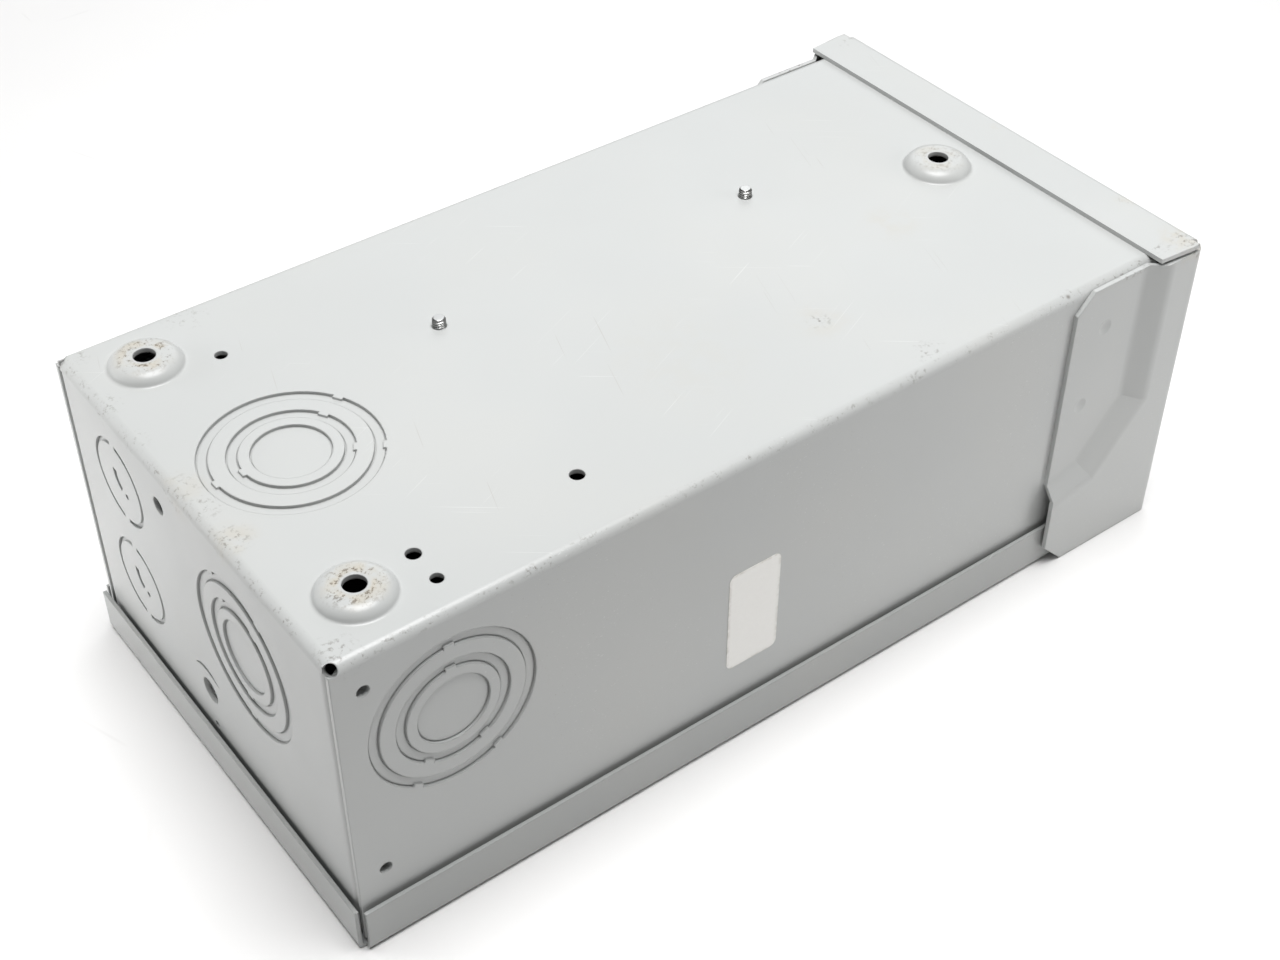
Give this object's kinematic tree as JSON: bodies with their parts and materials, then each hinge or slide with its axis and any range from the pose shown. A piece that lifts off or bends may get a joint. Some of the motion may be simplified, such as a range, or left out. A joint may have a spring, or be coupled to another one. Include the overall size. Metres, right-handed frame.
{
  "type": "subpanel enclosure",
  "caption": "Raintight surface-mount load centre box with folded shell, rain hood, lift-up cover, knockouts and a single-row breaker interior behind a deadfront.",
  "frame": {"origin": "on the supporting surface under the middle of the whole part, which lies on its closed front cover", "axes": "+X from the bottom end wall towards the rain hood, +Y away from the labelled side wall, +Z from the cover towards the back panel"},
  "size_m": [0.31, 0.1626, 0.1104],
  "materials": {
    "painted_steel": "light grey semi-gloss powder coat",
    "zinc_steel": "bright zinc plate",
    "aluminium": "tin-plated extruded aluminium",
    "tinned_copper": "tin-plated bus bar",
    "black_moulding": "moulded phenolic",
    "label_white": "blank paper sticker",
    "green_screw": "green dyed zinc"
  },
  "bodies": {
    "cover": {"cover": "painted_steel"},
    "enclosure": {"box_shell": "painted_steel", "end_cap": "painted_steel", "hub_plate": "painted_steel", "hub_plate_screws": "zinc_steel", "hinge_pins": "zinc_steel", "cover_catch": "zinc_steel", "catch_rivets": "zinc_steel", "side_label": "label_white", "interior_pan": "zinc_steel", "interior_screws": "zinc_steel", "breaker_rail": "zinc_steel", "rail_rivets": "zinc_steel", "bus_insulator": "black_moulding", "bus_bar_a": "tinned_copper", "bus_bar_b": "tinned_copper", "bus_screws": "zinc_steel", "lug_insulator": "black_moulding", "line_lug_a": "aluminium", "line_lug_b": "aluminium", "line_lug_set_screws": "zinc_steel", "lug_clamp_screws": "zinc_steel", "neutral_insulator": "black_moulding", "neutral_bar": "aluminium", "neutral_screws": "zinc_steel", "neutral_lug": "aluminium", "neutral_lug_set_screw": "zinc_steel", "bonding_screw": "green_screw", "deadfront": "painted_steel", "deadfront_bracket_lower": "zinc_steel", "deadfront_bracket_upper": "zinc_steel", "deadfront_screws": "zinc_steel"}
  },
  "joints": [
    {"name": "cover_hinge", "type": "hinge", "parent": "cover", "child": "enclosure", "pos_m": [0.14205, 0, 0.006], "axis": [0, 1, 0], "range_deg": [0, 90]}
  ]
}
